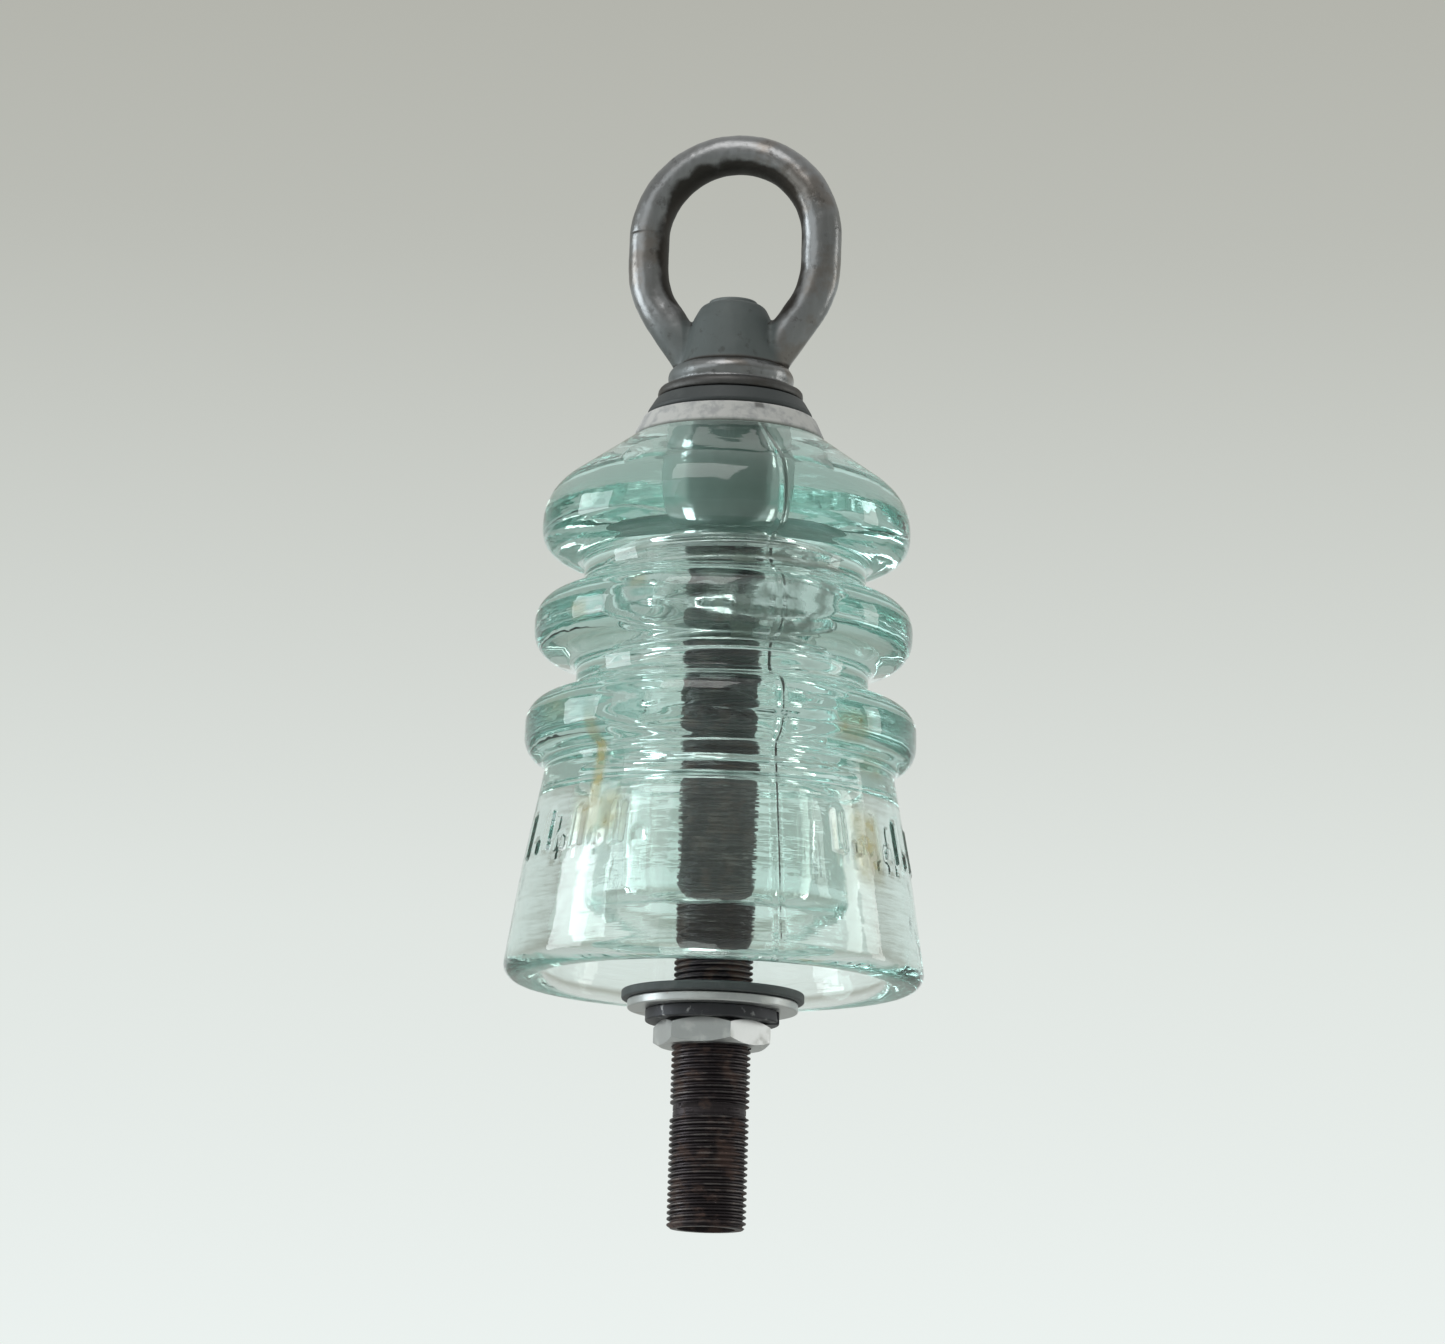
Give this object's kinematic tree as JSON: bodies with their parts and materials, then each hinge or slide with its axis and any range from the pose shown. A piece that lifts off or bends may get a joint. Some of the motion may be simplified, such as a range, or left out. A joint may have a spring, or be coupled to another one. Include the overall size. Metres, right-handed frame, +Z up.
{
  "type": "glass insulator hanger",
  "caption": "Three-ridged aqua glass pin insulator on a threaded tube stem, with a steel eye loop on top and a nut below that holds a lamp shade.",
  "frame": {"origin": "on the stem axis, in the plane of the glass base rim where a shade seats", "axes": "+Z up the stem to the eye loop; the eye ring lies in the XZ plane, so Y looks through the eye"},
  "size_m": [0.069, 0.069, 0.1847],
  "materials": {
    "aqua_glass": "pressed, glossy, pale aqua",
    "worn_steel": "worn smooth, satin",
    "grey_plastic": "matte",
    "pale_washer": "chalky, mottled",
    "rubber": "matte",
    "rusty_steel": "dark, lightly rusted thread",
    "zinc_steel": "zinc plated, dulled",
    "dark_steel": "black oxide"
  },
  "bodies": {
    "stem": {"stem_tube": "rusty_steel", "inner_nut": "zinc_steel", "inner_washer": "zinc_steel"},
    "glass": {"glass_shell": "aqua_glass", "crown_washer": "pale_washer", "inner_gasket": "rubber"},
    "loop_gasket": {"loop_gasket": "rubber"},
    "eye_loop": {"eye_loop": "worn_steel", "wire_bushing": "grey_plastic", "loop_set_screw": "dark_steel"},
    "shade_washers": {"shade_gasket": "rubber", "shade_washer": "zinc_steel", "spring_washer": "dark_steel"},
    "shade_nut": {"shade_nut": "zinc_steel"}
  },
  "joints": [
    {"name": "glass_turn", "type": "hinge", "parent": "stem", "child": "glass", "pos_m": [0, 0, 0.05], "axis": [0, 0, 1], "continuous": true},
    {"name": "gasket_lift", "type": "slide", "parent": "stem", "child": "loop_gasket", "axis": [0, 0, 1], "range_m": [0, 0.008]},
    {"name": "loop_turn", "type": "hinge", "parent": "loop_gasket", "child": "eye_loop", "pos_m": [0, 0, 0.101], "axis": [0, 0, 1], "range_deg": [0, 2880]},
    {"name": "washer_drop", "type": "slide", "parent": "stem", "child": "shade_washers", "axis": [0, 0, -1], "range_m": [0, 0.028]},
    {"name": "nut_turn", "type": "hinge", "parent": "shade_washers", "child": "shade_nut", "pos_m": [0, 0, -0.008], "axis": [0, 0, -1], "range_deg": [0, 10080]}
  ],
  "couplings": [
    {"joint": "gasket_lift", "follows": "loop_turn", "m_per_rad": 0.00015915},
    {"joint": "washer_drop", "follows": "nut_turn", "m_per_rad": 0.00015915}
  ]
}
